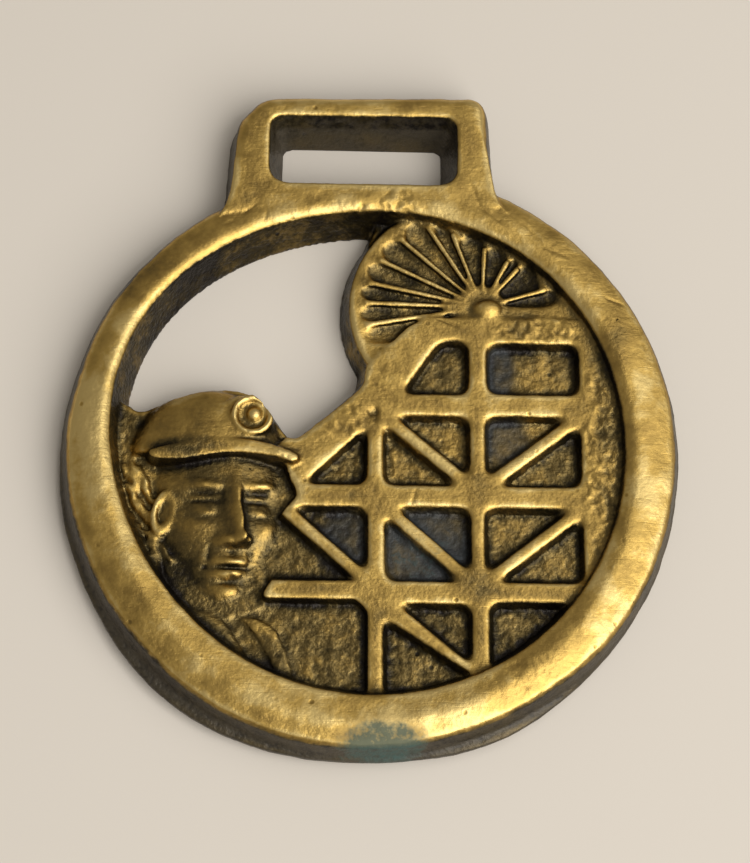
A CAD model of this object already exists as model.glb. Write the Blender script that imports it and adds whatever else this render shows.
"""A horse brass: a flat pendant cast in one piece, lying on its back.

The casting is modelled in millimetres round the centre of its rim, with its flat back at height 0,
and is moved and scaled into the frame when it is finished.
"""

import logging
import math
from contextlib import contextmanager
from dataclasses import dataclass, field
from enum import Enum
from typing import Callable, Iterator, Sequence

import bmesh
import bpy
import numpy as np
from bpy.types import Material, Node, NodeSocket, NodeTree, Object
from mathutils import Matrix, Vector
from mathutils.bvhtree import BVHTree

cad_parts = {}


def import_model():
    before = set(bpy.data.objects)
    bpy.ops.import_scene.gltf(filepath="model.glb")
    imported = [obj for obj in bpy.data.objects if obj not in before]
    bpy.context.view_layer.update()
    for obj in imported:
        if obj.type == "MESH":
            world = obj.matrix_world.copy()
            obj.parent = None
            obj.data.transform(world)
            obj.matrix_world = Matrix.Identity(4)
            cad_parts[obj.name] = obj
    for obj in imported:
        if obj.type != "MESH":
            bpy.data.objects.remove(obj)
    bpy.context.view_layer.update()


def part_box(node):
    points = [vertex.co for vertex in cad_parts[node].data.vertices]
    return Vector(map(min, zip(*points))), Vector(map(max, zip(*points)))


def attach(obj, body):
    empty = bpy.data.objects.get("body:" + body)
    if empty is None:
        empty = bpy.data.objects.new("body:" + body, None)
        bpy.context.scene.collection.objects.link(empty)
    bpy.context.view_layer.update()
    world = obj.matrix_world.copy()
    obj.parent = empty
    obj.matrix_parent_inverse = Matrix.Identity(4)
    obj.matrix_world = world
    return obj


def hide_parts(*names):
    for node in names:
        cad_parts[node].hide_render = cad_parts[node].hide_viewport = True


LOG = logging.getLogger("horse_brass")
# Metres in a millimetre, the unit that every form is modelled in.
MM = 0.001
# The CAD node that the casting replaces.
NODE = "brass_casting"
# A height that is clear of every form.
ABOVE = 9.0
# A face looks up when the upward part of its normal is more than this.
LOOKS_UP = 0.9
# Two corners are on different levels when their heights differ by more than this.
STEP = 0.5
# Steps that the weights of a vertex group are rounded to.
WEIGHT_STEPS = 20
Point = tuple[float, float]
Triple = tuple[float, float, float]
Corners = list[Point]
CIRCLE = bpy.ops.mesh.primitive_circle_add
PLANE = bpy.ops.mesh.primitive_plane_add
SPHERE = bpy.ops.mesh.primitive_uv_sphere_add
CYLINDER = bpy.ops.mesh.primitive_cylinder_add
CONE = bpy.ops.mesh.primitive_cone_add
TORUS = bpy.ops.mesh.primitive_torus_add


# ---------------------------------------------------------------- modelling by hand


def deselect_all() -> None:
    """Leaves object mode with nothing selected."""
    if bpy.context.mode != "OBJECT":
        bpy.ops.object.mode_set(mode="OBJECT")
    bpy.ops.object.select_all(action="DESELECT")


def make_active(obj: Object) -> None:
    """Selects one object alone and makes it the active one.

    Args:
        obj: The object to select.
    """
    deselect_all()
    obj.select_set(True)
    bpy.context.view_layer.objects.active = obj


def newest(name: str) -> Object:
    """Names the object that an operator has just added, and returns it.

    Args:
        name: The name for the object and its mesh.

    Returns:
        The object.
    """
    obj = bpy.context.active_object
    obj.name = name
    obj.data.name = name
    return obj


@contextmanager
def editing(obj: Object) -> Iterator[bmesh.types.BMesh]:
    """Opens an object in edit mode and gives its editable mesh.

    Args:
        obj: The mesh object to edit.

    Returns:
        A context that yields the edit mesh, and leaves edit mode at its end.
    """
    make_active(obj)
    bpy.ops.object.mode_set(mode="EDIT")
    try:
        yield bmesh.from_edit_mesh(obj.data)
    finally:
        bpy.ops.object.mode_set(mode="OBJECT")


def select_where(obj: Object, mesh: bmesh.types.BMesh, kind: str, test: Callable) -> None:
    """Selects the vertices, edges or faces that pass a test, and nothing else.

    Args:
        obj: The object being edited.
        mesh: Its edit mesh.
        kind: "verts", "edges" or "faces".
        test: Says whether one element is to be selected.
    """
    mode = {"verts": "VERT", "edges": "EDGE", "faces": "FACE"}[kind]
    bpy.ops.mesh.select_mode(type=mode)
    bpy.ops.mesh.select_all(action="DESELECT")
    for element in getattr(mesh, kind):
        element.select_set(bool(test(element)))
    mesh.select_flush_mode()
    bmesh.update_edit_mesh(obj.data)


def apply_modifier(obj: Object, kind: str, **settings: object) -> None:
    """Adds a modifier with its settings and applies it at once.

    Args:
        obj: The object to change.
        kind: The modifier's type.
        settings: Its properties.
    """
    make_active(obj)
    modifier = obj.modifiers.new(kind.title(), kind)
    for name, value in settings.items():
        setattr(modifier, name, value)
    bpy.ops.object.modifier_apply(modifier=modifier.name)


def combine(obj: Object, other: Object, operation: str = "DIFFERENCE") -> Object:
    """Cuts one solid by another, or keeps what they share, and removes the other.

    Args:
        obj: The solid to change.
        other: The solid to change it by.
        operation: "DIFFERENCE", "INTERSECT" or "UNION".

    Returns:
        The changed solid.
    """
    apply_modifier(obj, "BOOLEAN", object=other, operation=operation, solver="EXACT")
    bpy.data.objects.remove(other)
    return obj


def join(objects: Sequence[Object], name: str) -> Object:
    """Joins several objects into the first one.

    Args:
        objects: The objects to join.
        name: The joined object's name.

    Returns:
        The joined object.
    """
    deselect_all()
    for obj in objects:
        obj.select_set(True)
    bpy.context.view_layer.objects.active = objects[0]
    if len(objects) > 1:
        bpy.ops.object.join()
    return newest(name)


def add_primitive(name: str, operator: Callable, **settings: object) -> Object:
    """Adds a primitive, with nothing else selected and its place in its mesh.

    Args:
        name: The object's name.
        operator: The operator that adds it.
        settings: The operator's settings.

    Returns:
        The new object.
    """
    deselect_all()
    operator(**settings)
    bpy.ops.object.transform_apply()
    return newest(name)


def coordinates(obj: Object, kind: str = "co") -> np.ndarray:
    """Gives a mesh's vertex positions as an array of rows.

    Args:
        obj: The mesh object.
        kind: "co" for the positions, or "normal" for the ways that the vertices face.

    Returns:
        One row of x, y and z for each vertex.
    """
    flat = np.empty(len(obj.data.vertices) * 3, dtype=np.float32)
    obj.data.vertices.foreach_get(kind, flat)
    return flat.reshape(-1, 3).astype(np.float64)


def turned(places: np.ndarray, degrees: float, axis: str = "Z") -> np.ndarray:
    """Turns rows of places about an axis through the origin."""
    return places @ np.array(Matrix.Rotation(math.radians(degrees), 3, axis)).T


def move_vertices(obj: Object, places: np.ndarray) -> None:
    """Puts a mesh's vertices at new places, as a sculpting pass does."""
    obj.data.vertices.foreach_set("co", places.astype(np.float32).ravel())
    obj.data.update()


def outline(name: str, points: Sequence[Point], height: float = 0.0) -> Object:
    """Adds a filled circle and moves its corners onto an outline.

    Args:
        name: The object's name.
        points: The outline's corners in order, anticlockwise for a face that looks up.
        height: The height it lies at.

    Returns:
        The new flat object.
    """
    obj = add_primitive(name, CIRCLE, vertices=len(points), fill_type="NGON")
    move_vertices(obj, np.array([(x, y, height) for x, y in points]))
    return obj


def slab(name: str, points: Sequence[Point], start: float, end: float, draft: float) -> Object:
    """Raises an outline into a solid whose walls lean in by a draft.

    Args:
        name: The object's name.
        points: The outline at its start, where it is widest.
        start: The height of that outline.
        end: The height of the other face. Below the start, it makes a cutter that widens upwards.
        draft: How far the walls lean in on the way.

    Returns:
        The closed solid.
    """
    corners = list(points) if end > start else list(reversed(points))
    obj = outline(name, corners, start)
    with editing(obj) as mesh:
        bpy.ops.mesh.select_all(action="SELECT")
        bpy.ops.mesh.inset(thickness=draft, depth=abs(end - start))
        select_where(obj, mesh, "edges", lambda edge: len(edge.link_faces) == 1)
        bpy.ops.mesh.edge_face_add()
        bpy.ops.mesh.select_all(action="SELECT")
        bpy.ops.mesh.normals_make_consistent(inside=False)
        if mesh.calc_volume(signed=True) < 0:
            bpy.ops.mesh.flip_normals()
    return obj


def carry_up(obj: Object, mesh: bmesh.types.BMesh, start: float) -> None:
    """Carries a cutter's upper face straight up, until it is clear of everything.

    Args:
        obj: The cutter being edited.
        mesh: Its edit mesh.
        start: The height of its upper face.
    """
    select_where(obj, mesh, "faces", lambda face: face.normal.z > LOOKS_UP)
    bpy.ops.mesh.extrude_region_move(TRANSFORM_OT_translate={"value": (0, 0, ABOVE - start)})


def arc(centre: Point, radius: float, start: float, end: float, steps: int) -> Corners:
    """Gives points along an arc, with its angles in degrees."""
    angles = np.radians(np.linspace(start, end, steps + 1))
    return [(centre[0] + radius * math.cos(a), centre[1] + radius * math.sin(a)) for a in angles]


def curve(*controls: Point, steps: int = 8) -> Corners:
    """Gives points along a Bezier curve of any degree, without its last point.

    Args:
        controls: The curve's control points.
        steps: How many points it gives.

    Returns:
        The points, from the first control on.
    """
    degree = len(controls) - 1
    places = []
    for t in np.arange(steps) / steps:
        shares = [math.comb(degree, i) * t**i * (1 - t) ** (degree - i) for i in range(degree + 1)]
        places.append(tuple(sum(s * c[axis] for s, c in zip(shares, controls)) for axis in (0, 1)))
    return places


def smoothstep(low: float, high: float, value: np.ndarray) -> np.ndarray:
    """Gives 0 below the low value, 1 above the high one, and a smooth ramp between."""
    share = np.clip((value - low) / (high - low), 0, 1)
    return share * share * (3 - 2 * share)


def wave(angle: np.ndarray, count: int, size: float, peak: float) -> np.ndarray:
    """Gives a ripple round a circle, with its first peak at an angle in degrees."""
    return size * np.cos(count * (angle - math.radians(peak)))


def bulge(angle: np.ndarray, at: float, breadth: float, size: float) -> np.ndarray:
    """Gives a single bulge or flat round a circle, with its place and breadth in degrees."""
    turn = (np.degrees(angle) - at + 180) % 360 - 180
    return size * np.exp(-((turn / breadth) ** 2))


# ---------------------------------------------------------------- the casting's forms


@dataclass(frozen=True)
class Levels:
    """The heights of the casting's faces over its flat back."""

    crest: float = 6.0
    parting: float = 2.2
    field: float = 2.85
    frame: float = 4.4
    sun: float = 4.1


LEVELS = Levels()
SUN_CENTRE: Point = (11.5, 19.0)
SUN_RADIUS = 14.4


@dataclass(frozen=True)
class Rim:
    """The round rim, turned from one cross-section and then worn out of true."""

    outer: float = 37.2
    inner: float = 31.75
    outer_draft: float = 1.15
    inner_draft: float = 1.75
    foot_tuck: float = 0.3
    shoulder: float = 0.7
    steps: int = 240
    face_steps: int = 12
    crest_share: float = 0.24
    crest_shift: float = 0.34
    crest_shift_peak: float = 266
    crest_sharpness: float = 0.7
    inner_drop: float = 0.55
    inner_round: float = 1.7
    outer_drop: float = 0.75
    outer_round: float = 1.9
    out_of_true: float = 0.06

    def outer_wobble(self, angle: np.ndarray) -> np.ndarray:
        """Gives how far the outer edge strays from a true circle."""
        flats = bulge(angle, 165, 14, -0.45) + bulge(angle, 345, 20, -0.5) + bulge(angle, 32, 18, 0.3)
        return wave(angle, 2, 0.22, 36) + wave(angle, 4, 0.26, -18) + flats + self.out_of_true

    def slip(self, angle: np.ndarray) -> np.ndarray:
        """Gives how far the lower half of the mould had slipped outwards from the upper one."""
        return bulge(angle, 231, 25, 1.25) + bulge(angle, 293, 16, 1.0) + bulge(angle, 195, 14, 0.3)

    def inner_wobble(self, angle: np.ndarray) -> np.ndarray:
        """Gives how far the inner edge strays from a true circle."""
        broad = wave(angle, 1, 0.68, 123) + wave(angle, 2, 0.25, -29)
        return broad + wave(angle, 3, 0.43, 39) + wave(angle, 4, 0.2, -31)

    def section(self) -> Corners:
        """Gives the cross-section.

        Returns:
            Its corners as radius and height, with the face's points spread evenly.
        """
        edge, parting = self.outer + self.outer_draft, LEVELS.parting
        shoulder = LEVELS.crest - 2 * self.shoulder
        face = [
            (self.outer + (self.inner - self.outer) * i / self.face_steps, LEVELS.crest)
            for i in range(self.face_steps + 1)
        ]
        return [
            (self.inner - self.inner_draft, 0.0),
            (edge - self.foot_tuck, 0.0),
            (edge + 0.05, parting - 1.2),
            (edge + 0.1, parting - 0.25),
            (edge - 0.1, parting + 0.1),
            (self.outer + 0.45, shoulder),
            *face,
            (self.inner - 0.25, shoulder),
        ]

    def face_height(self, share: np.ndarray, angle: np.ndarray) -> np.ndarray:
        """Gives the worn face's height.

        Args:
            share: 0 at the inner edge of the face and 1 at the outer edge.
            angle: The angle round the rim.

        Returns:
            The height, which falls both ways from a crest that wanders across the face.
        """
        turn = np.maximum(np.cos(angle - math.radians(self.crest_shift_peak)), 0)
        crest = self.crest_share + self.crest_shift * turn**1.5
        inwards = np.clip((crest - share) / crest, 0, 1)
        outwards = np.clip((share - crest) / (1 - crest), 0, 1)
        sharp = self.crest_sharpness * turn
        inner_fall = self.inner_drop * inwards ** (self.inner_round - sharp)
        outer_fall = self.outer_drop * outwards ** (self.outer_round - sharp)
        return LEVELS.crest - inner_fall - outer_fall

    def build(self) -> Object:
        """Spins the cross-section into the rim, then wears it out of true.

        Returns:
            The closed ring.
        """
        rim = outline("rim", self.section())
        places = coordinates(rim)
        move_vertices(rim, places[:, [0, 2, 1]])
        with editing(rim) as mesh:
            bpy.ops.mesh.select_all(action="SELECT")
            bpy.ops.mesh.spin(steps=self.steps, angle=2 * math.pi, center=(0, 0, 0), axis=(0, 0, 1))
            select_where(rim, mesh, "faces", lambda face: len(face.verts) > 4)
            bpy.ops.mesh.delete(type="ONLY_FACE")
            bpy.ops.mesh.select_all(action="SELECT")
            bpy.ops.mesh.remove_doubles(threshold=1e-3)
            bpy.ops.mesh.normals_make_consistent(inside=False)
        places = coordinates(rim)
        radius = np.hypot(places[:, 0], places[:, 1])
        angle = np.arctan2(places[:, 1], places[:, 0])
        share = np.clip((radius - self.inner) / (self.outer - self.inner), 0, 1)
        top = places[:, 2] > LEVELS.crest - self.shoulder
        places[top, 2] = self.face_height(share, angle)[top]
        stray = self.inner_wobble(angle) * (1 - share) + self.outer_wobble(angle) * share
        stray += self.slip(angle) * ((radius > self.outer) & (places[:, 2] < LEVELS.parting))
        places[:, :2] *= ((radius + stray) / radius)[:, None]
        move_vertices(rim, places)
        return rim


@dataclass(frozen=True)
class Hanger:
    """The loop over the rim, whose slot takes the strap. Its upper left corner is cut off."""

    left: float = -17.4
    right: float = 14.7
    top: float = 47.9
    foot: float = 30.0
    flare: float = 0.9
    draft: float = 1.0
    slot_left: float = -13.4
    slot_right: float = 10.9
    slot_bottom: float = 35.2
    slot_top: float = 44.8
    slot_draft: float = 1.9
    slot_radius: float = 1.9
    slot_slant: float = 0.08
    slot_flare: Triple = (1.28, 1.6, 1)
    rounding: float = 1.25

    def block(self) -> Object:
        """Raises the block that the slot is cut in.

        Returns:
            The block, with rounded upper edges clear of the rim.
        """
        left, right, top, foot = self.left, self.right, self.top, self.foot
        flare, d = self.flare, self.draft
        corners = [
            (left - 5, foot - 1),
            (left / 2, foot + 2),
            (right / 2, foot + 2.4),
            (right + 4.5, foot + 1),
            *curve((right + 3, foot + 2.4), (right + flare + d, foot + 3.6), (right + 0.6 + d, foot + 6)),
            (right + d, top - 8),
            *curve((right - 0.3 + d, top - 2), (right - 0.6 + d, top + d), (right - 3, top + d)),
            *curve((left + 5, top - 0.6 + d), (left + 3.2, top - 0.7 + d), (left + 1.6, top - 2 + d)),
            *curve((left + 0.9 - d, top - 3), (left + 0.2 - d, top - 4), (left - 0.1 - d, top - 6)),
            *curve((left - 0.6 - d, foot + 5), (left - flare - d, foot + 2.4), (left - 3.4, foot + 0.6)),
        ]
        block = slab("hanger", corners, 0, LEVELS.crest - 0.05, d)
        lowest, nearest = LEVELS.crest - 1, foot + 6
        with editing(block) as mesh:
            select_where(
                block,
                mesh,
                "edges",
                lambda edge: all(v.co.z > lowest and v.co.y > nearest for v in edge.verts),
            )
            bpy.ops.mesh.bevel(offset=self.rounding, segments=4, profile=0.5)
        return block

    def slot(self) -> Object:
        """Makes the cutter for the strap slot, which narrows towards the back.

        Returns:
            The cutter, which flares outwards over the face.
        """
        left, right, low, high = self.slot_left, self.slot_right, self.slot_bottom, self.slot_top
        r = self.slot_radius
        corners = [
            *curve((left, low + 1.5 * r), (left, low), (left + 1.5 * r, low)),
            *curve((right - 1.5 * r, low), (right, low), (right, low + 1.5 * r)),
            *curve((right, high - r), (right, high + 0.3), (right - r, high + 0.3)),
            *curve((left + r, high + 0.1), (left, high), (left, high - r)),
        ]
        widen = self.slot_draft / LEVELS.crest
        cutter = slab("slot", corners, LEVELS.crest, -1, 0)
        places = coordinates(cutter)
        middle = np.array([(left + right) / 2, (low + high) / 2])
        room = np.array([(right - left) / 2, (high - low) / 2])
        lean = widen * (LEVELS.crest - places[:, 2:])
        places[:, :2] += (middle - places[:, :2]) * lean / room
        places[:, 1] -= self.slot_slant * (LEVELS.crest - places[:, 2])
        move_vertices(cutter, places)
        with editing(cutter) as mesh:
            carry_up(cutter, mesh, LEVELS.crest)
            bpy.ops.transform.resize(value=self.slot_flare)
        return cutter

    def build(self) -> Object:
        """Cuts the slot through the block."""
        return combine(self.block(), self.slot())


@dataclass(frozen=True)
class Gap:
    """The open gap over the helmet, along the frame's raking edge and round the sun."""

    draft: float = 1.15
    under_rim: float = 35.5

    def build(self) -> Object:
        """Makes the cutter, which widens upwards.

        Returns:
            The cutter, with its walls carried on clear of everything.
        """
        corners = [
            (-35.0, 7.0),
            (-31.0, 5.6),
            *curve((-30.4, 5.3), (-29.4, 4.0), (-27.6, 4.8)),
            *curve((-27.6, 4.8), (-24.5, 6.6), (-18.6, 8.6), (-15.6, 7.0)),
            *curve((-15.6, 7.0), (-12.9, 5.6), (-12.6, 3.4), (-11.1, 1.8)),
            *curve((-11.1, 1.8), (-9.9, 0.6), (-8.6, 1.7)),
            *curve((-8.6, 1.7), (-2.0, 7.4), (-1.4, 7.9), (-0.9, 9.2)),
            *arc(SUN_CENTRE, SUN_RADIUS, 212, 152, 24),
            (-0.3, 27.6),
            (0.8, 30.0),
            (1.0, 35.0),
            *arc((0, 0), self.under_rim, 90, 168, 24),
        ]
        cutter = slab("gap", corners, LEVELS.frame, -0.5, self.draft)
        with editing(cutter) as mesh:
            carry_up(cutter, mesh, LEVELS.frame)
        return cutter


class Brace(Enum):
    """How a bay of the frame is braced."""

    NONE = "none"
    RISING = "rising"
    FALLING = "falling"


@dataclass(frozen=True)
class PitFrame:
    """The braced frame of a pit head: posts, rails and braces round sunk cells."""

    posts: tuple[float, float] = (0.3, 13.0)
    rails: Triple = (6.0, -6.0, -18.3)
    post_half: float = 0.85
    rail_half: float = 1.3
    brace: float = 1.35
    left: float = -11.4
    right: float = 26.0
    cell_top: float = 14.4
    beam_top: float = 17.9
    cell_draft: float = 0.55
    corner: float = 1.25
    under_rim: float = 34.0

    def bay(self, left: float, right: float, low: float, high: float, brace: Brace) -> list[Corners]:
        """Gives the cells of one bay.

        Args:
            left: The bay's left side.
            right: Its right side.
            low: Its lower side.
            high: Its upper side.
            brace: Whether a brace parts it, and which way.

        Returns:
            The corners of one open cell, or of the two triangles beside a brace.
        """
        if brace is Brace.NONE:
            return [[(left, low), (right, low), (right, high), (left, high)]]
        slant = math.hypot(right - left, high - low)
        dx = self.brace / 2 * slant / (high - low)
        dy = self.brace / 2 * slant / (right - left)
        if brace is Brace.FALLING:
            return [
                [(left, low), (right - dx, low), (left, high - dy)],
                [(right, high), (left + dx, high), (right, low + dy)],
            ]
        return [
            [(right, low), (right, high - dy), (left + dx, low)],
            [(left, high), (left, low + dy), (right - dx, high)],
        ]

    def top_storey(self) -> list[Corners]:
        """Gives the two cells under the sun, which are sunk through its foot too.

        Returns:
            Each cell's corners.
        """
        post, low = self.posts[1], self.rails[0] + self.rail_half
        left, right = post - self.post_half, post + self.post_half + 0.3
        edge, top = self.right, self.cell_top
        return [
            [(3.3, low), (left, low), (left, top + 0.3), (8.4, top + 0.3)],
            [(right, low + 0.1), (edge, low + 0.1), (edge, top), (right, top)],
        ]

    def lower_storeys(self) -> list[Corners]:
        """Gives every other cell, storey by storey.

        Returns:
            Each cell's corners.
        """
        (left_post, right_post), (upper, middle, lower) = self.posts, self.rails
        p, r, deep = self.post_half, self.rail_half, -34.0
        bays = [
            (left_post + p, right_post - p, middle + r, upper - r - 0.1, Brace.FALLING),
            (right_post + p, self.right, middle + r, upper - r, Brace.RISING),
            (left_post + p + 0.2, right_post - p, lower + r, middle - r, Brace.FALLING),
            (right_post + p - 0.2, self.right, lower + r, middle - r, Brace.RISING),
            (right_post + p + 0.2, self.right + 8, deep, lower - r + 0.3, Brace.NONE),
        ]
        sloping = [
            [(-8.9, middle + r), (left_post - p, middle + r), (left_post - p, upper - 2.7)],
            [(left_post + p, deep), (right_post, deep), (right_post, -29), (left_post + p, -21.2)],
            [(2.6, lower - r), (right_post - p, -27.6), (right_post - p, lower - r)],
        ]
        first, second = self.bay(self.left, left_post - p, lower + r, middle - r - 0.1, Brace.FALLING)
        opened = [(self.left - 3, lower + r), *first[1:], (self.left - 2, middle - r - 0.4)]
        return [corners for bay in bays for corners in self.bay(*bay)] + sloping + [opened, second]

    def cell(self, corners: Sequence[Point]) -> Object:
        """Makes the cutter of one cell, with rounded corners and leaning walls.

        Args:
            corners: The cell's corners.

        Returns:
            The cutter.
        """
        cutter = slab("cell", corners, LEVELS.frame, LEVELS.field, self.cell_draft)
        with editing(cutter) as mesh:
            carry_up(cutter, mesh, LEVELS.frame)
            select_where(
                cutter,
                mesh,
                "edges",
                lambda edge: abs(edge.verts[0].co.z - edge.verts[1].co.z) > STEP,
            )
            bpy.ops.mesh.bevel(offset=self.corner, segments=4, profile=0.5, clamp_overlap=True)
        return cutter

    def plate(self) -> Object:
        """Raises the plate that the cells are sunk in, out under the rim.

        Returns:
            The plate, not yet sunk.
        """
        foot, lower_edge = self.rails[2] - self.rail_half, self.rails[2] + self.rail_half
        corners = [
            *arc((0, 0), self.under_rim, 268.4, 388, 40),
            (30.5, self.beam_top),
            (14.0, self.beam_top + 0.1),
            (6.6, self.beam_top),
            (4.2, 16.6),
            (0.0, 12.2),
            (-12.2, 0.4),
            (-9.6, -6.0),
            (-12.4, -9.5),
            (-12.7, lower_edge),
            (-13.7, foot + 0.9),
            (-13.3, foot),
            (-2.2, foot),
            (-0.95, foot - 1.2),
        ]
        return slab("frame", corners, LEVELS.field - 1, LEVELS.frame, 0.3)

    def build(self) -> Object:
        """Sinks every cell into the plate.

        Returns:
            The frame.
        """
        plate = self.plate()
        for corners in self.top_storey() + self.lower_storeys():
            combine(plate, self.cell(corners))
        return plate


@dataclass(frozen=True)
class Sun:
    """The rising sun, with rounded rays sunk between thin ridges that fan out from its hub."""

    centre: Point = SUN_CENTRE
    radius: float = SUN_RADIUS
    draft: float = 1.2
    border: float = 1.15
    rim_radius: float = 31.6
    trim_radius: float = 33.0
    hub: Point = (13.8, 19.3)
    cap: Triple = (1.9, 1.25, 1.05)
    start: float = 2.8
    ridge: float = 0.3
    depth: float = 0.7
    rib_radius: float = 0.38
    rib_taper: float = 0.7
    rib_end: float = 0.8
    sink: float = 0.1
    ridges: tuple[float, ...] = (203, 190.5, 179, 168, 154.5, 138.5, 122, 110, 87, 62, 49, 17, 2)

    def reach(self, direction: Vector) -> float:
        """Gives how far a ray runs.

        Args:
            direction: Its direction, of length 1.

        Returns:
            The distance from the hub to the sun's border or under the rim, whichever is nearer.
        """
        distances = []
        for centre, radius in ((self.centre, self.radius - self.border), ((0, 0), self.rim_radius)):
            offset = Vector(self.hub) - Vector(centre)
            along = offset.dot(direction)
            distances.append(-along + math.sqrt(along**2 - offset.length_squared + radius**2))
        return min(distances)

    def ray(self, start: float, end: float) -> Object:
        """Makes the cutter of one ray, a long squared spoon between two ridges.

        Args:
            start: The angle of the ridge on one side, in degrees.
            end: The angle of the ridge on the other side.

        Returns:
            The cutter, lying in the sun's face.
        """
        middle = (start + end) / 2
        angle = math.radians(middle)
        length = self.reach(Vector((math.cos(angle), math.sin(angle))))
        width = length * math.radians(abs(start - end)) * 0.98 - self.ridge
        spoon = add_primitive("ray", SPHERE, segments=32, ring_count=24, radius=1)
        places = coordinates(spoon)
        along = np.sign(places[:, 0]) * np.abs(places[:, 0]) ** 0.62
        from_hub = self.start + (length - self.start) * (along + 1) / 2
        taper = np.clip(from_hub / (0.8 * length), 0, 1)
        places[:, 0] = from_hub
        places[:, 1] = np.sign(places[:, 1]) * np.abs(places[:, 1]) ** 0.8 * taper * width / 2
        places[:, 2] = np.sign(places[:, 2]) * np.abs(places[:, 2]) ** 0.7 * self.depth
        move_vertices(spoon, turned(places, middle) + (*self.hub, LEVELS.sun))
        return spoon

    def rib(self, degrees: float) -> Object:
        """Lays one thin rib along the ridge between two rays.

        Args:
            degrees: The ridge's angle.

        Returns:
            The rib, which tapers towards the hub.
        """
        angle = math.radians(degrees)
        direction = Vector((math.cos(angle), math.sin(angle)))
        start, end = self.start * self.rib_end, self.reach(direction) - self.rib_end
        middle = Vector(self.hub) + direction * (start + end) / 2
        return add_primitive(
            "rib",
            CONE,
            vertices=16,
            radius1=self.rib_radius * self.rib_taper,
            radius2=self.rib_radius,
            depth=end - start,
            location=(*middle, LEVELS.sun - self.sink),
            rotation=(0, math.pi / 2, angle),
        )

    def build(self) -> list[Object]:
        """Sinks the rays into the disc, then adds the hub's cap and the ribs.

        Returns:
            The disc, then the cap and the ribs.
        """
        sun = add_primitive(
            "sun",
            CONE,
            vertices=128,
            radius1=self.radius + self.draft,
            radius2=self.radius,
            depth=LEVELS.sun,
            location=(*self.centre, LEVELS.sun / 2),
        )
        rays = [self.ray(a, b) for a, b in zip(self.ridges, self.ridges[1:])]
        for ray in rays:
            combine(sun, ray)
        trim = add_primitive("trim", CYLINDER, vertices=128, radius=self.trim_radius, depth=20)
        combine(sun, trim, "INTERSECT")
        cap = add_primitive("hub", SPHERE, segments=32, ring_count=16, radius=1)
        places = coordinates(cap) * self.cap
        move_vertices(cap, places + (self.hub[0] + 0.7, self.hub[1] - 0.4, LEVELS.sun - self.sink))
        return [sun, cap, *(self.rib(angle) for angle in self.ridges[1:-1])]


@dataclass(frozen=True)
class Head:
    """The miner's head, by the usual proportions, turned to the right and flattened into relief.

    The eyes lie half way down the head, the nose's base half way from brow to chin, and the mouth a
    third of the way from there to the chin.
    """

    x: float = -19.3
    crown: float = 5.5
    chin: float = -20.5
    width: float = 17.0
    depth: float = 19.0
    turn: float = 15.0
    flatten: float = 0.3
    lift: float = 1.65
    rings: int = 260
    boldness: float = 1.3
    jaw_taper: float = 0.3

    def forms(self) -> list[tuple[float, ...]]:
        """Gives the face's swellings and hollows.

        Returns:
            Rows of x, y, half-width across, half-width up and height.
        """
        height = self.crown - self.chin
        eye = self.crown - height / 2
        brow = eye + height * 0.09
        nose = (brow + self.chin) / 2
        mouth = nose + (self.chin - nose) / 3
        apart = self.width / 5
        single = [
            (0, eye, 0.85, 2.9, 2.4),
            (0, nose + 2.5, 0.95, 1.9, 2.0),
            (0, nose + 0.85, 1.15, 0.95, 3.4),
            (0, nose - 0.35, 1.6, 0.36, -1.1),
            (0, nose - 1.2, 0.35, 0.7, -0.4),
            (0, mouth + 0.66, 2.0, 0.5, 1.7),
            (0, mouth, 2.2, 0.26, -1.5),
            (0, mouth - 0.76, 1.7, 0.55, 1.9),
            (0, mouth - 1.8, 1.6, 0.5, -1.1),
            (0, self.chin + 1.8, 2.3, 1.3, 2.2),
        ]
        paired = [
            (apart * 0.85, brow, 1.6, 0.6, 1.3),
            (apart * 1.3, brow + 0.25, 1.2, 0.55, 0.8),
            (apart, eye + 0.2, 2.4, 1.7, -3.6),
            (apart, eye - 0.1, 1.6, 0.95, 3.3),
            (apart, eye + 0.95, 1.9, 0.34, 1.4),
            (apart, eye + 0.45, 1.6, 0.2, -0.9),
            (apart, eye - 1.0, 1.6, 0.3, 0.9),
            (apart, eye - 0.15, 0.5, 0.45, -0.7),
            (apart * 1.35, eye - 3.0, 1.7, 1.4, 0.9),
            (1.5, nose + 0.7, 0.62, 0.62, 2.0),
            (1.1, nose + 1.5, 0.3, 0.5, -0.4),
            (2.6, mouth + 1.4, 0.45, 1.3, -0.7),
            (2.75, mouth, 0.4, 0.4, -0.6),
            (apart * 1.4, mouth - 0.2, 1.4, 2.0, -0.7),
        ]
        return single + [(side * x, *rest) for side in (-1, 1) for x, *rest in paired]

    def build(self) -> Object:
        """Raises the face on the front of an egg, then turns and flattens it.

        Returns:
            The head, lying in the ground.
        """
        head = add_primitive("head", SPHERE, segments=self.rings, ring_count=self.rings, radius=1)
        sphere = coordinates(head)[:, [0, 2, 1]] * (1, 1, -1)
        height = self.crown - self.chin
        low = smoothstep(0, 1, -sphere[:, 1])
        x = sphere[:, 0] * self.width * (1 - self.jaw_taper * low) / 2
        y = (self.crown + self.chin) / 2 + sphere[:, 1] * height / 2
        z = sphere[:, 2] * self.depth / 2
        front = smoothstep(0.1, 0.6, sphere[:, 2])
        for cx, cy, rx, ry, size in self.forms():
            z += self.boldness * size * np.exp(-(((x - cx) / rx) ** 2) - ((y - cy) / ry) ** 2) * front
        places = turned(np.stack([x, y, z], axis=1), self.turn, "Y")
        places[:, 2] = places[:, 2] * self.flatten + self.lift
        places[:, 0] += self.x
        move_vertices(head, places)
        return head


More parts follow.
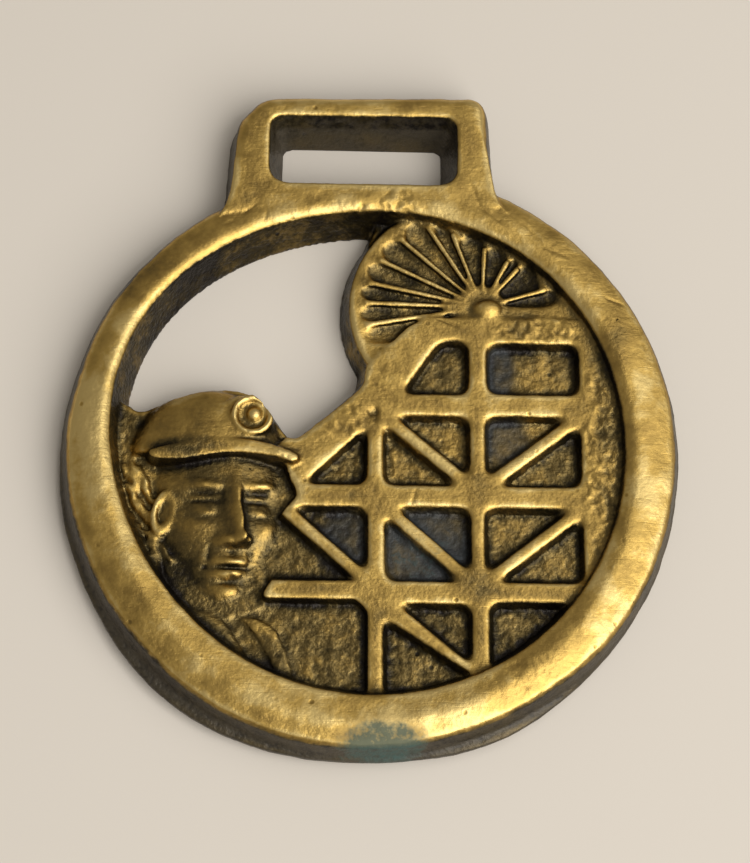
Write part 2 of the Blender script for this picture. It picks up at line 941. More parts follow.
@dataclass(frozen=True)
class Hair:
    """The ear and the short locks of hair behind it, between the brim and the rim."""

    ear: Point = (-25.6, -8.4)
    ear_halves: Triple = (1.15, 2.3, 1.1)
    ear_lean: float = -12
    top: float = -2.9
    hairline: float = 30.6
    rows: int = 9
    row_drop: float = 1.45
    locks: int = 3
    lock_step: float = 0.95
    lock_halves: Triple = (0.42, 1.15, 0.5)

    def lock(self, x: float, y: float, lean: float) -> Object:
        """Raises one lock, a long low swelling.

        Args:
            x: The place of its middle.
            y: The same, up the casting.
            lean: How far it leans back, in degrees.

        Returns:
            The lock.
        """
        lock = add_primitive("lock", SPHERE, segments=16, ring_count=12, radius=1)
        places = turned(coordinates(lock) * self.lock_halves, lean)
        move_vertices(lock, places + (x, y, LEVELS.field + 0.1))
        return lock

    def build(self) -> list[Object]:
        """Builds the ear's rolled edge and lobe, and the locks row by row.

        Returns:
            Every part.
        """
        ear = add_primitive("ear", TORUS, major_segments=40, major_radius=1, minor_radius=0.36)
        places = turned(coordinates(ear) * self.ear_halves, self.ear_lean)
        move_vertices(ear, places + (*self.ear, LEVELS.field + 0.6))
        parts = [ear, self.lock(self.ear[0] - 0.3, self.ear[1] - 2.4, -6)]
        for row in range(self.rows):
            y = self.top - self.row_drop * row
            start = -math.sqrt(self.hairline**2 - y**2)
            for i in range(self.locks):
                unevenness = math.sin(7.3 * row + 2.9 * i * i)
                x = start + self.lock_step * (i + 0.5 * (row % 2) + 0.3 * unevenness)
                parts.append(self.lock(x, y + 0.5 * unevenness, 14 + 3 * row + 22 * unevenness))
        return parts


@dataclass(frozen=True)
class Helmet:
    """The miner's helmet: its bowl, the long brim and the cap lamp."""

    x: float = -20.4
    foot: float = -1.0
    half_width: float = 9.4
    height: float = 8.9
    rise: float = 3.3
    brim_left: float = -27.4
    brim_right: float = -8.8
    brim_top: float = 5.75
    brim_edge: float = 0.25
    lamp: Point = (-14.9, 3.9)
    lamp_radius: float = 2.65
    lamp_top: float = 5.5

    def bowl(self) -> Object:
        """Adds the bowl, the upper half of an egg.

        Returns:
            The bowl, sunk a little into the ground.
        """
        bowl = add_primitive("bowl", SPHERE, segments=96, ring_count=64, radius=1)
        with editing(bowl):
            bpy.ops.mesh.select_all(action="SELECT")
            bpy.ops.mesh.bisect(plane_co=(0, 0, 0), plane_no=(0, 1, 0), clear_inner=True, use_fill=True)
        places = coordinates(bowl) * (self.half_width, self.height, self.rise)
        move_vertices(bowl, places + (self.x, self.foot, LEVELS.field - 0.4))
        return bowl

    def brim(self) -> Object:
        """Raises the brim, a long crescent that rides over the brow.

        Returns:
            The brim, with its upper edge rounded.
        """
        left, right = self.brim_left, self.brim_right
        heel, toe, tip = (left - 0.2, -0.7), (left + 0.8, -2.3), (right - 1.2, -2.5)
        points = [
            *curve((right, -1.2), (right - 4.5, 1.6), (left + 6.5, 1.4), heel, steps=14),
            *curve(heel, (left - 1.0, -2.0), toe, steps=5),
            *curve(toe, (left + 7, -3.0), (left + 8, 0.3), tip, steps=14),
            tip,
            (right - 0.2, -2.2),
        ]
        brim = slab("brim", points, LEVELS.field, self.brim_top, self.brim_edge)
        highest = self.brim_top - 0.1
        with editing(brim) as mesh:
            select_where(brim, mesh, "edges", lambda edge: all(v.co.z > highest for v in edge.verts))
            bpy.ops.mesh.bevel(offset=self.brim_edge, segments=3, profile=0.5)
        return brim

    def lamp_housing(self) -> list[Object]:
        """Adds the cap lamp.

        Returns:
            Its case, its sunk lens, a rolled lip, and the bulb that stands in the lens.
        """
        top, radius, (x, y) = self.lamp_top, self.lamp_radius, self.lamp
        case, lens = (x - 0.7, y + 0.1, top / 2 - 0.35), (x, y, top / 2 - 0.3)
        lip, bulb = (x, y, top - 0.3), (x + 0.2, y + 0.1, top - 0.65)
        ring = radius - 0.35
        return [
            add_primitive("case", CYLINDER, vertices=64, radius=radius, depth=top - 0.7, location=case),
            add_primitive("lens", CYLINDER, vertices=64, radius=radius, depth=top - 0.6, location=lens),
            add_primitive(
                "lip", TORUS, major_segments=64, major_radius=ring, minor_radius=0.42, location=lip
            ),
            add_primitive("bulb", SPHERE, segments=32, ring_count=16, radius=0.95, location=bulb),
        ]

    def bracket(self) -> Object:
        """Raises the strap and bracket that hold the lamp on the bowl's front."""
        strap = [
            (-18.9, 5.7),
            (-18.7, 4.6),
            (-16.5, 0.7),
            (-15.4, 0.4),
            (-13.2, 1.2),
            (-13.6, 6.2),
            (-16.6, 7.0),
        ]
        return slab("bracket", strap, LEVELS.field, self.lamp_top - 0.75, 0.25)

    def build(self) -> list[Object]:
        """Builds every part of the helmet."""
        return [self.bowl(), self.brim(), *self.lamp_housing(), self.bracket()]


@dataclass(frozen=True)
class Collar:
    """The neck and the turned-up collar, in the lowest relief."""

    rise: float = 0.5
    foot: float = LEVELS.field - 1

    def build(self) -> list[Object]:
        """Raises the neck and the collar's two lapels.

        Returns:
            The three parts.
        """
        top = LEVELS.field + self.rise
        neck = [
            *curve((-26.0, -13.0), (-25.6, -18.4), (-21.0, -23.0)),
            *curve((-21.0, -23.0), (-16.0, -21.6), (-12.4, -20.2)),
            *curve((-12.4, -20.2), (-12.8, -14.0), (-16.0, -9.0)),
        ]
        parts = [slab("neck", neck, self.foot, top - 0.3, 0.4)]
        lapels = [
            [
                *curve((-24.0, -20.2), (-20.6, -19.8), (-17.8, -21.6)),
                *curve((-17.8, -21.6), (-14.6, -25.4), (-13.4, -29.6)),
                (-17.6, -28.6),
            ],
            [
                *curve((-16.6, -21.2), (-13.2, -20.6), (-11.2, -23.0)),
                *curve((-11.2, -23.0), (-9.2, -26.4), (-8.8, -31.0)),
                *curve((-11.4, -31.0), (-12.2, -26.4), (-16.6, -21.2)),
            ],
        ]
        for i, lapel in enumerate(lapels):
            parts.append(slab("lapel", lapel[::-1], self.foot, top - 0.1 * i, 0.6))
        return parts


# ---------------------------------------------------------------- the sculpting pass


class HeightMap:
    """The casting's upper face as a map of heights, for finding what stands up and what lies deep."""

    def __init__(self, obj: Object, step: float) -> None:
        """Drops a ray on every cell of a grid over the object.

        Args:
            obj: The object, in millimetres.
            step: The grid's step.
        """
        places = coordinates(obj)
        self.step = step
        self.low = places.min(axis=0)[:2] - 4
        size = np.ceil((places.max(axis=0)[:2] + 4 - self.low) / step).astype(int)
        tree = BVHTree.FromObject(obj, bpy.context.evaluated_depsgraph_get())
        self.heights = np.zeros((size[1], size[0]))
        down = Vector((0, 0, -1))
        for row in range(size[1]):
            y = self.low[1] + row * step
            for column in range(size[0]):
                hit = tree.ray_cast(Vector((self.low[0] + column * step, y, ABOVE)), down)[0]
                if hit is not None:
                    self.heights[row, column] = hit.z

    def blurred(self, radius: float) -> np.ndarray:
        """Gives the map softened by a bell curve.

        Args:
            radius: The radius, in millimetres.

        Returns:
            The softened map.
        """
        rows = np.fft.fftfreq(self.heights.shape[0], self.step)
        columns = np.fft.fftfreq(self.heights.shape[1], self.step)
        bell = np.exp(-2 * (math.pi * radius) ** 2 * (rows[:, None] ** 2 + columns[None, :] ** 2))
        return np.real(np.fft.ifft2(np.fft.fft2(self.heights) * bell))

    def under_cloth(self, ball: float, reach: float) -> np.ndarray:
        """Gives how far each place lies below a polishing cloth that is laid over the face.

        Args:
            ball: The radius of the ball that the cloth bends round.
            reach: How far the cloth spans a hollow.

        Returns:
            The depth below the cloth.
        """
        count = int(reach / self.step)
        shifts = [
            (i, j, (math.hypot(i, j) * self.step) ** 2 / (2 * ball))
            for i in range(-count, count + 1)
            for j in range(-count, count + 1)
            if math.hypot(i, j) <= count
        ]
        raised = np.maximum.reduce([np.roll(self.heights, (i, j), (0, 1)) - sag for i, j, sag in shifts])
        closed = np.minimum.reduce([np.roll(raised, (i, j), (0, 1)) + sag for i, j, sag in shifts])
        return closed - self.heights

    def at(self, values: np.ndarray, places: np.ndarray) -> np.ndarray:
        """Reads a map of values at places, between its cells.

        Args:
            values: A map of this grid's size.
            places: Rows of x, y and height.

        Returns:
            One value for each place.
        """
        across = (places[:, :2] - self.low) / self.step
        column = np.clip(across[:, 0], 0, values.shape[1] - 2)
        row = np.clip(across[:, 1], 0, values.shape[0] - 2)
        i, j = row.astype(int), column.astype(int)
        u, v = row - i, column - j
        lower = values[i, j] * (1 - v) + values[i, j + 1] * v
        upper = values[i + 1, j] * (1 - v) + values[i + 1, j + 1] * v
        return lower * (1 - u) + upper * u


@dataclass(frozen=True)
class Patch:
    """A soft-edged patch of the face where age or use has left its mark."""

    centre: Point
    halves: Point
    amount: float

    def share(self, places: np.ndarray) -> np.ndarray:
        """Gives how strongly the patch shows at each place."""
        offset = (places[:, :2] - self.centre) / self.halves
        return self.amount * (1 - smoothstep(0.6, 1.25, np.hypot(offset[:, 0], offset[:, 1])))


@dataclass(frozen=True)
class Dent:
    """A scratch, nick or dent: a narrow hollow along a line."""

    centre: Point
    length: float
    width: float
    angle: float
    depth: float

    def sink(self, places: np.ndarray) -> np.ndarray:
        """Gives how deep the dent is.

        Args:
            places: Rows of x, y and height.

        Returns:
            The depth at each place.
        """
        turn = math.radians(self.angle)
        offset = places[:, :2] - self.centre
        along = offset @ (math.cos(turn), math.sin(turn)) / (self.length / 2)
        across = offset @ (-math.sin(turn), math.cos(turn)) / (self.width / 2)
        return self.depth * np.exp(-(along**4) - across**2)


# Two plain dents on the frame, then nicks and scratches on the rim, the frame and the sun.
DENTS = (
    Dent((0.0, 4.9), 1.3, 1.1, 20, 0.4),
    Dent((0.4, 4.4), 1.6, 0.5, 80, 0.25),
    Dent((-1.6, 31.9), 1.2, 0.7, 60, 0.25),
    Dent((-15.5, 31.6), 2.6, 0.28, 38, 0.1),
    Dent((-18.4, 29.4), 1.6, 0.26, 22, 0.09),
    Dent((-13.6, 30.6), 1.2, 0.3, 74, 0.1),
    Dent((13.2, 33.5), 5.0, 0.5, 112, 0.08),
    Dent((15.4, 30.9), 4.2, 0.5, 140, 0.1),
    Dent((20.6, 28.4), 4.4, 0.4, 128, 0.08),
    Dent((23.2, 26.2), 3.4, 0.4, 160, 0.1),
    Dent((-27.6, 24.0), 3.0, 0.3, 55, 0.15),
    Dent((30.4, 19.8), 2.6, 0.3, -20, 0.16),
    Dent((5.0, -6.2), 2.2, 0.3, 75, 0.14),
    Dent((9.4, 17.0), 2.4, 0.35, 160, 0.2),
)
# The sun's rays.
FAN_PATCHES = (
    Patch((12.0, 25.4), (15.0, 7.0), 1.0),
    Patch((1.8, 20.0), (4.4, 6.0), 1.0),
)
# The head and the rays, whose forms are too fine for the coarser grain.
FINE_PATCHES = (Patch((-20.0, -6.0), (9.5, 15.0), 1.0), *FAN_PATCHES)
# Where the casting is rough or pitted.
ROUGH_PATCHES = (
    Patch((18.8, -29.0), (4.6, 2.6), 0.3),
    Patch((29.2, 0.0), (3.4, 16.5), 1.0),
    Patch((20.6, 16.2), (6.4, 1.9), 0.9),
    Patch((-5.6, 4.0), (5.6, 3.6), 0.6),
    Patch((-11.0, -3.5), (1.8, 4.5), 0.9),
    Patch((-1.0, 33.0), (9.0, 1.6), 0.18),
    Patch((3.0, 31.0), (2.6, 4.0), 0.6),
    Patch((2.0, 9.6), (2.4, 2.0), 0.5),
)
# Where it is rubbed more, or less, than its height alone gives.
WEAR_PATCHES = (
    Patch((-20.5, 4.0), (9.0, 3.4), -0.05),
    Patch((-1.2, 43.0), (11.5, 0.9), 0.2),
    Patch((-6.6, 2.0), (4.0, 3.0), 0.08),
    Patch((-23.0, -0.8), (5.6, 1.8), -0.3),
    Patch((-20.0, -11.0), (8.5, 9.5), -0.12),
    Patch((20.0, 25.0), (9.0, 6.0), -0.12),
    Patch((8.0, 25.0), (12.0, 7.0), -0.04),
    Patch((-25.0, -1.4), (4.0, 1.8), -0.15),
    Patch((-26.6, 23.6), (8.0, 8.0), -0.16),
    Patch((-35.0, 1.0), (3.4, 9.0), 0.14),
    Patch((-26.0, -23.0), (7.0, 6.0), -0.1),
    Patch((13.0, -5.0), (1.2, 20.0), -0.1),
    Patch((-28.0, -9.0), (3.4, 9.0), 0.14),
    Patch((0.3, -26.0), (2.0, 7.0), -0.12),
    Patch((22.0, -28.0), (9.0, 6.0), -0.05),
    Patch((8.0, -20.0), (20.0, 10.0), -0.07),
    Patch((30.2, 3.0), (2.4, 19.0), -0.18),
    Patch((35.0, 3.0), (3.0, 15.0), 0.08),
    Patch((-20.5, 4.5), (9.0, 4.5), 0.06),
    Patch((14.0, -31.6), (16.0, 1.8), -0.1),
    Patch((4.0, -34.0), (14.0, 2.4), 0.08),
)
# Cells with slate-coloured tarnish.
BLUE_PATCHES = (
    Patch((-3.4, -11.6), (3.8, 4.2), 0.75),
    Patch((6.6, -12.2), (6.2, 5.4), 1.0),
    Patch((16.6, 1.6), (3.4, 3.6), 0.8),
    Patch((15.8, 11.0), (2.4, 4.0), 0.85),
)
# Verdigris on the lower edge of the rim, and a trace in one cell.
GREEN_PATCHES = (
    Patch((1.2, -36.8), (5.6, 2.6), 1.1),
    Patch((2.4, -38.6), (12.0, 1.8), 0.4),
    Patch((5.6, -13.4), (4.6, 4.0), 0.42),
)


@dataclass(frozen=True)
class Grain:
    """One scale of unevenness that the mould and the wear have left in the surface."""

    size: float
    height: float

    def press(self, obj: Object, group: str) -> None:
        """Displaces a mesh by this unevenness where a vertex group allows it.

        Args:
            obj: The object to displace.
            group: The vertex group that limits it.
        """
        texture = bpy.data.textures.new("grain", "CLOUDS")
        texture.noise_scale = self.size
        texture.noise_basis = "IMPROVED_PERLIN"
        texture.noise_depth = 1
        settings = {"texture": texture, "strength": self.height, "mid_level": 0.5}
        apply_modifier(obj, "DISPLACE", vertex_group=group, texture_coords="LOCAL", **settings)


GRAINS = {
    "bold": (Grain(5.5, 0.32), Grain(2.1, 0.15), Grain(0.8, 0.06)),
    "relief": (Grain(2.4, 0.14), Grain(0.7, 0.07)),
    "sunk": (Grain(1.35, 0.32), Grain(0.65, 0.16)),
    "rough": (Grain(1.5, 0.45), Grain(0.8, 0.4)),
}


def spread(patches: Sequence[Patch], places: np.ndarray) -> np.ndarray:
    """Adds up how strongly several patches show at each place."""
    return sum(patch.share(places) for patch in patches)


def press_grains(obj: Object, *groups: str) -> None:
    """Presses each vertex group's own scales of grain into a mesh.

    Args:
        obj: The object to press.
        groups: The vertex groups' names.
    """
    for group in groups:
        for grain in GRAINS[group]:
            grain.press(obj, group)


def paint_group(obj: Object, name: str, weights: np.ndarray) -> None:
    """Writes one weight for each vertex into a new vertex group.

    Args:
        obj: The mesh object.
        name: The group's name.
        weights: One weight for each vertex.
    """
    group = obj.vertex_groups.new(name=name)
    steps = np.round(np.clip(weights, 0, 1) * WEIGHT_STEPS).astype(int)
    for step in range(1, WEIGHT_STEPS + 1):
        chosen = np.nonzero(steps == step)[0]
        if len(chosen):
            group.add(chosen.tolist(), step / WEIGHT_STEPS, "REPLACE")


def paint_attribute(obj: Object, name: str, values: np.ndarray) -> None:
    """Writes one number for each vertex into an attribute that a material can read.

    Args:
        obj: The mesh object.
        name: The attribute's name.
        values: One number for each vertex.
    """
    attribute = obj.data.attributes.new(name, "FLOAT", "POINT")
    attribute.data.foreach_set("value", values.astype(np.float32))


# ---------------------------------------------------------------- finishes


def linear(colour: str) -> tuple[float, float, float, float]:
    """Turns an sRGB hex colour into linear values."""
    parts = [int(colour[i : i + 2], 16) / 255 for i in (1, 3, 5)]
    return (*((p / 12.92 if p <= 0.04045 else ((p + 0.055) / 1.055) ** 2.4) for p in parts), 1.0)


def add_node(tree: NodeTree, kind: str, settings: dict | None = None, links: dict | None = None) -> Node:
    """Adds a node with its settings and links.

    Args:
        tree: The material's node tree.
        kind: The node's type, without its prefix.
        settings: Properties by name, and values of input sockets by "in:NAME" or "in:INDEX".
        links: The output socket that feeds each input, by the input's name or index.

    Returns:
        The new node.
    """
    node = tree.nodes.new(f"ShaderNode{kind}")
    for name, value in (settings or {}).items():
        if name.startswith("in:"):
            key = name[3:]
            node.inputs[int(key) if key.isdigit() else key].default_value = value
        else:
            setattr(node, name, value)
    for name, socket in (links or {}).items():
        tree.links.new(socket, node.inputs[int(name) if str(name).isdigit() else name])
    return node


@dataclass(frozen=True)
class AgedBrass:
    """Sand-cast brass, rubbed bright on its high parts and darkened by age in its recesses.

    Brass is a warm yellow metal. The skin of the mould leaves it grained, hands and polish keep what
    stands up bright and slightly scratched, and what lies deep turns brown, then nearly black.
    """

    name: str = "aged_sand_cast_brass"
    tones: tuple[tuple[float, str], ...] = (
        (0.0, "#17110A"),
        (0.2, "#3B321C"),
        (0.42, "#79663D"),
        (0.66, "#A98A4A"),
        (0.85, "#C6A459"),
        (1.0, "#DFC27C"),
    )
    dull: str = "#4C4436"
    verdigris: str = "#35504A"
    blueing: str = "#2B3134"
    polish: Point = (0.34, 0.45)
    grain_mm: float = 0.5
    skin_mm: float = 1.5
    cloud_mm: float = 6.5
    pit_mm: float = 3.1
    scratch_mm: float = 5.0
    relief_mm: float = 0.07
    unevenness: Point = (0.18, 0.24)
    cloudiness: float = 0.42
    pit_tone: float = -0.3
    pit_depth: float = -0.9
    scratch_depth: float = -0.16
    scratch_angle: float = -38.0
    scratch_thinness: float = 16.0
    stain_roughness: float = 0.35

    def build(self) -> Material:
        """Builds the material from its attributes and patterns.

        Returns:
            The material.
        """
        material = bpy.data.materials.new(self.name)
        material.use_nodes = True
        tree = material.node_tree
        tree.nodes.clear()
        place = add_node(tree, "TexCoord").outputs["Object"]
        worn = add_node(tree, "Attribute", {"attribute_name": "worn"}).outputs["Fac"]
        stained = add_node(tree, "Attribute", {"attribute_name": "stained"}).outputs["Fac"]
        lumps = [self.mottle(tree, place, size) for size in (self.grain_mm, self.skin_mm)]
        cloud = self.mottle(tree, place, self.cloud_mm)
        # What is rubbed bright is smoother than what is not.
        settings = {"in:From Min": 0.3, "in:From Max": 0.8, "in:To Min": 1.0, "in:To Max": 0.42}
        coarse = add_node(tree, "MapRange", settings, {"Value": worn}).outputs["Result"]
        pits = self.pits(tree, place, cloud)
        level = self.level(tree, worn, coarse, lumps, cloud, pits)
        dark, bright = self.polish
        settings = {"in:From Min": 0.5, "in:From Max": 0.85, "in:To Min": dark, "in:To Max": bright}
        rubbed = add_node(tree, "MapRange", settings, {"Value": level}).outputs["Result"]
        settings = {"operation": "MULTIPLY_ADD", "in:1": self.stain_roughness}
        roughness = add_node(tree, "Math", settings, {"0": stained, "2": rubbed}).outputs[0]
        # Black tarnish and stains hide the metal.
        settings = {"in:From Min": 0.0, "in:From Max": 0.4, "in:To Min": 0.7, "in:To Max": 1.0}
        metal = add_node(tree, "MapRange", settings, {"Value": level}).outputs["Result"]
        settings = {"operation": "SUBTRACT", "use_clamp": True}
        metallic = add_node(tree, "Math", settings, {"0": metal, "1": stained}).outputs[0]
        links = {
            "Base Color": self.stains(tree, self.tone(tree, level), lumps),
            "Roughness": roughness,
            "Metallic": metallic,
            "Normal": self.relief(tree, coarse, lumps, pits, self.scratches(tree, place)),
        }
        shader = add_node(tree, "BsdfPrincipled", links=links)
        add_node(tree, "OutputMaterial", links={"Surface": shader.outputs["BSDF"]})
        return material

    def mottle(self, tree: NodeTree, place: NodeSocket, size_mm: float) -> NodeSocket:
        """Draws an uneven pattern.

        Args:
            tree: The material's nodes.
            place: The place on the casting.
            size_mm: The size of its lumps, in millimetres.

        Returns:
            A value between 0 and 1.
        """
        settings = {"in:Scale": 1 / (size_mm * MM), "in:Detail": 3.0}
        noise = add_node(tree, "TexNoise", settings, {"Vector": place}).outputs["Fac"]
        settings = {"in:From Min": 0.28, "in:From Max": 0.72}
        return add_node(tree, "MapRange", settings, {"Value": noise}).outputs["Result"]

    def pits(self, tree: NodeTree, place: NodeSocket, cloud: NodeSocket) -> NodeSocket:
        """Scatters the casting's small gas pits.

        Args:
            tree: The material's nodes.
            place: The place on the casting.
            cloud: The clouds, which are dense where the pits lie.

        Returns:
            1 in a pit, and 0 beside it.
        """
        cells = add_node(tree, "TexVoronoi", {"in:Scale": 1 / (self.pit_mm * MM)}, {"Vector": place})
        settings = {"in:From Min": 0.12, "in:From Max": 0.05, "in:To Min": 0.0, "in:To Max": 1.0}
        holes = add_node(tree, "MapRange", settings, {"Value": cells.outputs["Distance"]})
        settings = {"in:From Min": 0.5, "in:From Max": 0.66}
        dense = add_node(tree, "MapRange", settings, {"Value": cloud})
        links = {"0": holes.outputs["Result"], "1": dense.outputs["Result"]}
        return add_node(tree, "Math", {"operation": "MULTIPLY"}, links).outputs[0]

    def scratches(self, tree: NodeTree, place: NodeSocket) -> NodeSocket:
        """Draws long thin scratches that run up to the right.

        They are drawn as broad as they need to be to show.

        Args:
            tree: The material's nodes.
            place: The place on the casting.

        Returns:
            1 in a scratch, and 0 beside it.
        """
        settings = {
            "in:Rotation": (0.0, 0.0, math.radians(self.scratch_angle)),
            "in:Scale": (1.0, self.scratch_thinness, 1.0),
        }
        lengthwise = add_node(tree, "Mapping", settings, {"Vector": place}).outputs["Vector"]
        settings = {"in:Scale": 1 / (self.scratch_mm * MM), "in:Detail": 2.0}
        streaks = add_node(tree, "TexNoise", settings, {"Vector": lengthwise}).outputs["Fac"]
        settings = {"in:From Min": 0.6, "in:From Max": 0.68}
        return add_node(tree, "MapRange", settings, {"Value": streaks}).outputs["Result"]

    def level(
        self,
        tree: NodeTree,
        worn: NodeSocket,
        coarse: NodeSocket,
        lumps: Sequence[NodeSocket],
        cloud: NodeSocket,
        pits: NodeSocket,
    ) -> NodeSocket:
        """Adds the unevenness to the wear.

        Args:
            tree: The material's nodes.
            worn: How brightly the place is rubbed.
            coarse: How strongly the grain shows there.
            lumps: The grain and the skin.
            cloud: The clouds.
            pits: 1 in a pit.

        Returns:
            The level, from 0 for black to 1 for bright.
        """
        total = worn
        for lump, amount in zip(lumps, self.unevenness):
            settings = {"operation": "SUBTRACT", "in:1": 0.5}
            centred = add_node(tree, "Math", settings, {"0": lump}).outputs[0]
            settings = {"operation": "MULTIPLY", "in:1": amount}
            sized = add_node(tree, "Math", settings, {"0": centred}).outputs[0]
            links = {"0": sized, "1": coarse, "2": total}
            total = add_node(tree, "Math", {"operation": "MULTIPLY_ADD"}, links).outputs[0]
        settings = {
            "operation": "MULTIPLY_ADD",
            "in:1": self.cloudiness,
            "in:2": -self.cloudiness / 2,
        }
        clouded = add_node(tree, "Math", settings, {"0": cloud}).outputs[0]
        total = add_node(tree, "Math", {"operation": "ADD"}, {"0": total, "1": clouded}).outputs[0]
        settings = {"operation": "MULTIPLY_ADD", "in:1": self.pit_tone, "use_clamp": True}
        return add_node(tree, "Math", settings, {"0": pits, "2": total}).outputs[0]

    def tone(self, tree: NodeTree, level: NodeSocket) -> NodeSocket:
        """Turns the level into the metal's colour.

        Args:
            tree: The material's nodes.
            level: 0 for black to 1 for bright.

        Returns:
            The colour.
        """
        ramp = add_node(tree, "ValToRGB", links={"Fac": level})
        elements = ramp.color_ramp.elements
        for position, _ in self.tones[1:-1]:
            elements.new(position)
        for element, (position, colour) in zip(elements, self.tones):
            element.position = position
            element.color = linear(colour)
        return ramp.outputs["Color"]

    def stains(self, tree: NodeTree, colour: NodeSocket, lumps: Sequence[NodeSocket]) -> NodeSocket:
        """Lays the dull side walls, the blueing and the verdigris over the metal.

        Args:
            tree: The material's nodes.
            colour: The metal's colour.
            lumps: The grain and the skin, which make the stains' edges ragged.

        Returns:
            The stained colour.
        """
        rag = add_node(tree, "Math", {"operation": "ADD"}, {"0": lumps[0], "1": lumps[1]}).outputs[0]
        stains = {"dull": self.dull, "blue": self.blueing, "green": self.verdigris}
        for attribute, stain in stains.items():
            share = add_node(tree, "Attribute", {"attribute_name": attribute}).outputs["Fac"]
            settings = {"operation": "MULTIPLY_ADD", "in:1": 0.5}
            ragged = add_node(tree, "Math", settings, {"0": rag, "2": share}).outputs[0]
            settings = {"in:From Min": 0.95, "in:From Max": 1.7, "in:To Max": 0.85}
            mask = add_node(tree, "MapRange", settings, {"Value": ragged}).outputs["Result"]
            # Sockets 6 and 7 of a Mix node are its two colours.
            settings = {"data_type": "RGBA", "in:7": linear(stain)}
            colour = add_node(tree, "Mix", settings, {"0": mask, "6": colour}).outputs[2]
        return colour

    def relief(
        self,
        tree: NodeTree,
        coarse: NodeSocket,
        lumps: Sequence[NodeSocket],
        pits: NodeSocket,
        scratches: NodeSocket,
    ) -> NodeSocket:
        """Raises the grained skin, and sinks its pits and scratches.

        Args:
            tree: The material's nodes.
            coarse: How strongly the grain shows.
            lumps: The grain and the skin.
            pits: 1 in a pit.
            scratches: 1 in a scratch.

        Returns:
            The normal.
        """
        both = add_node(tree, "Math", {"operation": "ADD"}, {"0": lumps[0], "1": lumps[1]}).outputs[0]
        links = {"0": both, "1": coarse}
        height = add_node(tree, "Math", {"operation": "MULTIPLY"}, links).outputs[0]
        for mark, depth in ((pits, self.pit_depth), (scratches, self.scratch_depth)):
            settings = {"operation": "MULTIPLY_ADD", "in:1": depth}
            height = add_node(tree, "Math", settings, {"0": mark, "2": height}).outputs[0]
        settings = {"in:Distance": self.relief_mm * MM, "in:Strength": 0.8}
        return add_node(tree, "Bump", settings, {"Height": height}).outputs["Normal"]


@dataclass(frozen=True)
class PlainFloor:
    """A pale matt board, which takes only soft shadows."""

    colour: str = "#D9D0C3"

    def build(self) -> Material:
        """Builds the matt material.

        Returns:
            The material.
        """
        material = bpy.data.materials.new("pale_board")
        material.use_nodes = True
        shader = material.node_tree.nodes["Principled BSDF"]
        shader.inputs["Base Color"].default_value = linear(self.colour)
        shader.inputs["Roughness"].default_value = 0.9
        shader.inputs["Specular IOR Level"].default_value = 0.1
        return material


# ---------------------------------------------------------------- the casting as a whole


@dataclass(frozen=True)
class Wear:
    """How polish, shelter and age change a face, from 0 for black to 1 for bright."""

    ground: float = 0.46
    raised: float = 0.23
    raised_bold: float = 0.16
    shelter: float = 0.6
    edge: float = 0.3
    edge_bold: float = 0.1
    corner: float = 0.3
    wall: float = 0.27
    foot: float = 0.3
    outer_band: float = 0.11
    under_blue: float = 0.18
    dull_side: float = 1.1
    green_side: float = 0.35
    stain: Triple = (0.35, 0.5, 0.6)
    most_stained: float = 0.9
    cloth_ball: float = 14.0
    cloth_reach: float = 3.0
    edge_radius: float = 0.5
    edge_height: float = 0.22
    map_step: float = 0.25

    def paint(self, body: Object) -> None:
        """Paints how brightly each part is rubbed, and where it is stained.

        Args:
            body: The casting, in millimetres.
        """
        places, facing = coordinates(body), coordinates(body, "normal")
        radius, height = np.hypot(places[:, 0], places[:, 1]), places[:, 2]
        heights = HeightMap(body, self.map_step)
        cloth = heights.under_cloth(self.cloth_ball, self.cloth_reach)
        sheltered = smoothstep(0.15, 1.1, heights.at(cloth, places))
        standing = heights.at(heights.heights - heights.blurred(self.edge_radius), places)
        edge = np.clip(standing / self.edge_height, -1, 1)
        high = smoothstep(3.1, 4.2, height)
        bold = smoothstep(30.8, 31.8, radius)
        open_face = smoothstep(0.3, 0.85, facing[:, 2])
        steep = (1 - smoothstep(0.2, 0.6, facing[:, 2])) * smoothstep(36.2, 37.0, radius)
        low = (1 - smoothstep(3.4, 4.4, height)) * smoothstep(36.0, 36.6, radius)
        side = np.maximum(steep, low)
        floor = 1 - smoothstep(3.3, 3.9, height)
        left = 1 - smoothstep(2.0, 24.0, places[:, 0])

        raised = self.raised + self.raised_bold * bold
        rubbed = (self.edge - self.edge_bold * bold) * np.maximum(edge, 0)
        worn = self.ground + raised * high * (1 - self.shelter * sheltered) * open_face
        worn += (rubbed - self.corner * np.maximum(-edge, 0)) * open_face
        worn -= self.wall * (1 - open_face)
        worn -= self.foot * low * open_face
        worn -= self.outer_band * smoothstep(35.2, 36.7, radius) * left
        worn += spread(WEAR_PATCHES, places)
        blue = spread(BLUE_PATCHES, places) * floor
        green = spread(GREEN_PATCHES, places) * (1 - self.green_side * side)
        paint_attribute(body, "worn", np.clip(worn - self.under_blue * blue, 0, 1))
        paint_attribute(body, "dull", side * self.dull_side)
        paint_attribute(body, "blue", np.clip(blue, 0, 1))
        paint_attribute(body, "green", green)
        by_side, by_blue, by_green = self.stain
        stained = by_side * side + by_blue * blue + by_green * green
        paint_attribute(body, "stained", np.clip(stained, 0, self.most_stained))


